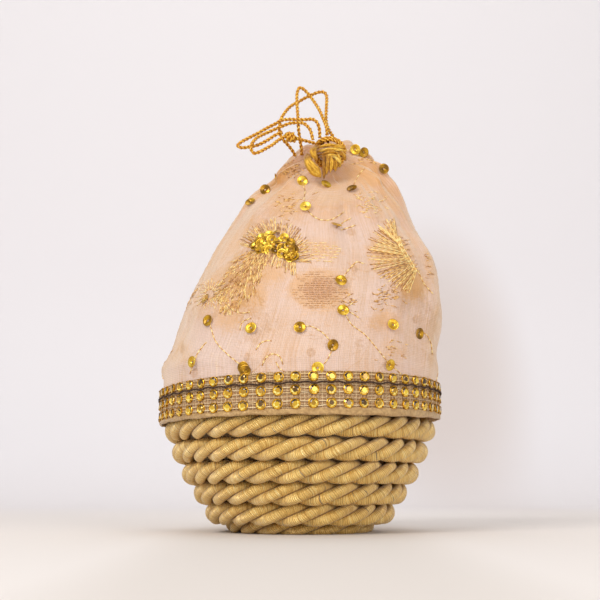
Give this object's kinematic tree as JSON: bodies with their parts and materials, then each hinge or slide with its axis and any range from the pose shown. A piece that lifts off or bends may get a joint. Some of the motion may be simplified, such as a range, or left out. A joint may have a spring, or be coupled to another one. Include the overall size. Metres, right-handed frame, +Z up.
{
  "type": "potli bag",
  "caption": "Drawstring pouch of sheer embroidered cloth on a round coiled rope base, with a stone-set trim band and gathered neck.",
  "frame": {"origin": "centre of the foot on the surface that the bag stands on, on the axis of the rope base", "axes": "+Z up along the base's axis, -Y towards the front where the neck faces, +X to the viewer's right"},
  "size_m": [0.1191, 0.1188, 0.1902],
  "materials": {
    "satin_rope": "satin twist",
    "cup_card": "matt",
    "gold_stones": "faceted gloss",
    "brown_thread": "matt thread",
    "peach_organza": "sheer weave",
    "sequin_foil": "metallic foil",
    "gilt_cord": "metallic thread"
  },
  "bodies": {
    "root": {"rope_coil": "satin_rope", "inner_cup": "cup_card", "trim_band": "gold_stones", "trim_thread": "brown_thread", "pouch": "peach_organza", "sequin_01": "sequin_foil", "sequin_02": "sequin_foil", "sequin_03": "sequin_foil", "sequin_04": "sequin_foil", "sequin_05": "sequin_foil", "sequin_06": "sequin_foil", "sequin_07": "sequin_foil", "sequin_08": "sequin_foil", "sequin_09": "sequin_foil", "sequin_10": "sequin_foil", "sequin_11": "sequin_foil", "sequin_12": "sequin_foil", "sequin_13": "sequin_foil", "sequin_14": "sequin_foil", "sequin_15": "sequin_foil", "sequin_16": "sequin_foil", "sequin_17": "sequin_foil", "sequin_18": "sequin_foil", "sequin_19": "sequin_foil", "sequin_20": "sequin_foil", "sequin_21": "sequin_foil", "sequin_22": "sequin_foil", "sequin_23": "sequin_foil", "sequin_24": "sequin_foil", "sequin_25": "sequin_foil", "neck_winding": "gilt_cord", "draw_loop_right": "gilt_cord", "draw_loop_left": "gilt_cord", "draw_loop_long": "gilt_cord", "draw_loop_return": "gilt_cord", "cord_knot": "gilt_cord"}
  },
  "joints": []
}
